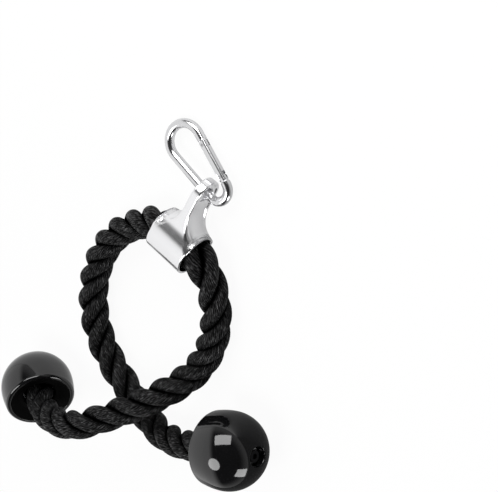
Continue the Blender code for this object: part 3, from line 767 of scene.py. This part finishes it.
def make_gate(frame_matrix, material):
    pivot = frame_matrix @ Matrix.Translation((RING_RADIUS, PIVOT_HEIGHT, 0.0))
    end = GATE_END - PIVOT_HEIGHT
    wide = GATE_RADIUS + CUT_OVER
    gate = rod("gate_barrel", GATE_RADIUS, -wide, end, pivot, axis="Y", material=material)
    side = GATE_RADIUS + SKIN
    stadium = [(side, end + CUT_OVER), (-side, end + CUT_OVER)]
    stadium += arc((0.0, 0.0), side, 180.0, 360.0, 36)
    carve(gate, [object_from("round", plate(stadium, wide), pivot)], "INTERSECT")
    slot = TONGUE_HALF_THICKNESS + FIT_GAP

    def slot_from(low, high):
        outline = [(-wide, low), (wide, low), (wide, high), (-wide, high)]
        return object_from("slot", plate(outline, slot), pivot)

    latch = pivot @ Matrix.Translation((0.0, LATCH_PIN_HEIGHT - PIVOT_HEIGHT, 0.0))
    cuts = [
        slot_from(-wide, HINGE_SLOT_DEPTH),
        slot_from(GATE_TOP_SLOT - PIVOT_HEIGHT, end + CUT_OVER),
        rod("rivet_hole", PIVOT_RADIUS + FIT_GAP, -wide, wide, pivot, 24),
        rod("latch_hole", LATCH_PIN_RADIUS + FIT_GAP, -wide, wide, latch, 24),
    ]
    carve(gate, cuts, "DIFFERENCE", GATE_EDGE_ROUND)
    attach(gate, GATE)
    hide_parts("snap_hook_gate")


# Hanger, as the zero surface of a smooth function of place


def smooth_max(a, b, k):
    h = np.clip(0.5 + 0.5 * (a - b) / k, 0.0, 1.0)
    return b + (a - b) * h + k * h * (1.0 - h)


def smooth_min(a, b, k):
    return -smooth_max(-a, -b, k)


def hanger_function(p):
    """Below zero inside the casting. Across the sleeve is r, up the lug u, off its plane t."""
    r, u, t = np.abs(p[:, 0]), p[:, 1], p[:, 2]
    reach = SLEEVE_LENGTH / 2
    from_axis = np.sqrt(u**2 + t**2)
    sleeve = smooth_max(from_axis - SLEEVE_RADIUS, r - reach, 0.0012)
    low = np.clip(u, 0.0, LUG_WAIST)
    width = LUG_HALF_WIDTH + LUG_FLARE * (1.0 - low / LUG_WAIST) ** 2
    straight = np.abs(t) - width
    crown = np.sqrt(t**2 + (u - EYE_HEIGHT) ** 2) - LUG_HALF_WIDTH
    outline = np.where(u > EYE_HEIGHT, crown, straight)
    web = smooth_step(-outline, STRAP_WIDTH - 0.0012, STRAP_WIDTH + 0.0008)
    half = STRAP_HALF_THICKNESS + (WEB_HALF_THICKNESS - STRAP_HALF_THICKNESS) * web
    rise = np.clip((from_axis - SLEEVE_RADIUS) / FLARE_RISE, 0.0, 1.0)
    flare = 1.0 - np.sqrt(np.maximum(0.0, 1.0 - (1.0 - rise) ** 2))
    half = half + (reach - 0.0004 - half) * flare
    lug = smooth_max(outline, r - half, 0.0018)
    lug = smooth_max(lug, -u, 0.0005)
    blend = FLARE_BLEND_LOW + (FLARE_BLEND - FLARE_BLEND_LOW) * smooth_step(u, 0.0, 0.012)
    solid = smooth_min(sleeve, lug, blend)
    solid = smooth_max(solid, SLEEVE_BORE - from_axis, 0.0009)
    eye = EYE_RADIUS - np.sqrt(t**2 + (u - EYE_HEIGHT) ** 2)
    return smooth_max(solid, eye, 0.0016)


def slope_of(function, p, step=0.00002):
    gradient = np.zeros_like(p)
    for k in range(3):
        shift = np.zeros(3)
        shift[k] = step
        gradient[:, k] = (function(p + shift) - function(p - shift)) / (2 * step)
    return gradient


def pull_to_surface(p, function, rounds=8):
    """Newton steps that bring points onto the function's zero surface."""
    for _ in range(rounds):
        value = function(p)
        gradient = slope_of(function, p)
        size = np.maximum(np.sum(gradient**2, axis=1), 0.05)
        step = (value / size)[:, None] * gradient
        length = np.linalg.norm(step, axis=1)[:, None]
        p = p - step * np.minimum(1.0, 0.0006 / np.maximum(length, 1e-9))
    return p


def make_hanger(material):
    """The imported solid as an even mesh, pulled to the smooth surface and evened along it."""
    source = NODES["hanger"]
    made = bpy.data.objects.new("hanger_casting", source.data.copy())
    bpy.context.scene.collection.objects.link(made)
    remesh = made.modifiers.new("even", "REMESH")
    remesh.mode = "VOXEL"
    remesh.voxel_size = CASTING_VOXEL
    mesh = evaluated_mesh(made)
    made.modifiers.clear()
    made.data = mesh
    count = len(mesh.vertices)
    flat = np.zeros(count * 3)
    mesh.vertices.foreach_get("co", flat)
    origin = np.array(SHIFT + Vector((0.0, 0.0, SLEEVE_HEIGHT)))
    roll = np.array(Matrix.Rotation(-LUG_TILT, 3, "X"))
    p = (flat.reshape(-1, 3) - origin) @ roll
    edges = np.zeros(len(mesh.edges) * 2, int)
    mesh.edges.foreach_get("vertices", edges)
    edges = edges.reshape(-1, 2)
    p = pull_to_surface(p, hanger_function)
    for _ in range(CASTING_EVENING_ROUNDS):
        total = np.zeros_like(p)
        number = np.zeros(count)
        for a, b in ((0, 1), (1, 0)):
            np.add.at(total, edges[:, a], p[edges[:, b]])
            np.add.at(number, edges[:, a], 1.0)
        p = pull_to_surface(0.5 * p + 0.5 * total / number[:, None], hanger_function, 3)
    mesh.vertices.foreach_set("co", (p @ roll.T + origin).ravel())
    mesh.materials.clear()
    mesh.materials.append(material)
    mesh.shade_smooth()
    mesh.update()
    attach(made, ROOT)
    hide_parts("hanger")


# Stage


def make_world():
    """White to the camera. All else sees a white wall behind the part, and a room that is
    lighter at the horizon and dark above."""
    world = bpy.data.worlds.new("studio")
    bpy.context.scene.world = world
    world.use_nodes = True
    tree = world.node_tree
    tree.nodes.clear()
    node = partial(add_node, tree)
    direction = node("TexCoord").outputs["Generated"]
    facing = node("VectorMath", {0: direction, 1: WALL_AXIS}, operation="DOT_PRODUCT")
    height = node("SeparateXYZ", {0: direction}).outputs["Z"]
    room = node(
        "MapRange",
        {"Value": height, "From Min": 0.0, "From Max": ROOM_DARK_HEIGHT,
         "To Min": ROOM_HORIZON, "To Max": ROOM_DARK},
        interpolation_type="SMOOTHSTEP",
    )
    lit = node(
        "MapRange",
        {"Value": facing.outputs["Value"], "From Min": WALL_EDGE[0], "From Max": WALL_EDGE[1],
         "To Min": 1.0, "To Max": room.outputs["Result"]},
        interpolation_type="SMOOTHSTEP",
    )
    camera = node("LightPath").outputs["Is Camera Ray"]
    seen = node("Math", {0: camera, 1: lit.outputs["Result"]}, operation="MAXIMUM")
    white = {"Color": (1.0, 1.0, 1.0, 1.0), "Strength": seen.outputs[0]}
    node("OutputWorld", {"Surface": node("Background", white).outputs["Background"]})


def make_floor():
    """White to the camera. What shines sees it fade to grey towards +X: a painted falloff of
    light, as on a lit sweep.
    """
    material = bpy.data.materials.new("white_floor")
    material.use_nodes = True
    tree = material.node_tree
    tree.nodes.clear()
    node = partial(add_node, tree)
    across = node("SeparateXYZ", {0: node("NewGeometry").outputs["Position"]}).outputs["X"]
    # Painted falloff of light: the glow and the paint darken towards +X for what shines.
    fade = node(
        "MapRange",
        {"Value": across, "From Min": FLOOR_FADE[0], "From Max": FLOOR_FADE[1],
         "To Min": 1.0, "To Max": FLOOR_FAR_GLOW},
        interpolation_type="SMOOTHSTEP",
    )
    path = node("LightPath")
    camera, glossy = path.outputs["Is Camera Ray"], path.outputs["Is Glossy Ray"]
    strength = node("Math", {0: camera, 1: fade.outputs["Result"]}, operation="MAXIMUM")
    glow = node("Emission", {"Color": (1.0, 1.0, 1.0, 1.0), "Strength": strength.outputs[0]})
    unseen = node("Math", {0: 1.0, 1: glossy}, operation="SUBTRACT")
    shade = node("Math", {0: unseen.outputs[0], 1: fade.outputs["Result"]}, operation="MAXIMUM")
    white = node("Math", {0: shade.outputs[0], 1: FLOOR_PAINT}, operation="MULTIPLY")
    paint = node("BsdfDiffuse", {"Color": white.outputs[0]})
    seen = node("Math", {0: camera, 1: FLOOR_GLOW}, operation="MULTIPLY")
    mirrored = node("Math", {0: glossy, 1: FLOOR_MIRRORED_GLOW}, operation="MULTIPLY")
    share = node("Math", {0: seen.outputs[0], 1: mirrored.outputs[0]}, operation="ADD")
    mix = node("MixShader", {0: share.outputs[0], 1: paint.outputs[0], 2: glow.outputs[0]})
    node("OutputMaterial", {"Surface": mix.outputs[0]})
    half = FLOOR_HALF
    corners = [(-half, -half, 0.0), (half, -half, 0.0), (half, half, 0.0), (-half, half, 0.0)]
    floor = add_mesh("floor", corners, [(0, 1, 2, 3)], material, smooth=False)


def make_softbox(name, direction, size, shape, roll_deg=0.0):
    """An area light in the given direction, turned to the part. Sizes are in radians."""
    data = bpy.data.lights.new(name, "AREA")
    data.shape = shape
    data.size = size[0] * LAMP_DISTANCE
    data.size_y = size[1] * LAMP_DISTANCE
    area = data.size * data.size_y * (math.pi / 4 if shape == "ELLIPSE" else 1.0)
    data.energy = LAMP_RADIANCE * math.pi * area
    light = bpy.data.objects.new(name, data)
    bpy.context.scene.collection.objects.link(light)
    toward = Vector(direction).normalized()
    turn = toward.to_track_quat("Z", "Y").to_matrix().to_4x4()
    roll = Matrix.Rotation(math.radians(roll_deg), 4, "Z")
    light.matrix_world = Matrix.Translation(toward * LAMP_DISTANCE) @ turn @ roll


def make_lights():
    make_softbox("key_softbox", (-0.335, 0.785, 0.520), (0.84, 0.50), "RECTANGLE", KEY_ROLL)
    make_softbox("top_reflector", (0.100, -0.200, 0.975), (0.55, 0.55), "ELLIPSE")
    make_softbox("side_softbox", (0.950, -0.160, 0.265), (0.38, 0.42), "RECTANGLE")


def paint_node(name, material):
    data = NODES[name].data
    data.materials.clear()
    data.materials.append(material)


def build():
    make_camera()
    rope = rope_material()
    make_ropes(rope)
    chrome = chrome_material("chrome_plate", PLATE_COLOUR, 0.17, 0.22, 0.03)
    # The hook's chrome takes the darker wire colour, a painted shade.
    wire = chrome_material("chrome_wire", SHADED_WIRE_COLOUR, 0.13, 0.18, 0.02)
    moulding = ball_material()
    steel = steel_material("plain_steel", STEEL_COLOUR)
    black_steel = steel_material("black_steel", BLACK_STEEL_COLOUR)
    mouth = mouth_material()
    make_ball("left", LEFT_BALL, LEFT_BALL_TO_ROPE, moulding, mouth)
    make_ball("right", RIGHT_BALL, RIGHT_BALL_TO_ROPE, moulding, mouth)
    make_hanger(chrome)
    matrix = hook_frame()
    make_hook_body(matrix, wire)
    make_gate(matrix, wire)
    for name in NODES:
        if name.startswith(("gate_", "end_washer", "rope_ferrule")):
            paint_node(name, steel)
        if name.startswith("end_screw"):
            paint_node(name, black_steel)
        if name.startswith("rope_tail"):
            paint_node(name, rope)
    make_world()
    make_floor()
    make_lights()
    bpy.context.scene.view_settings.view_transform = "Standard"


build()
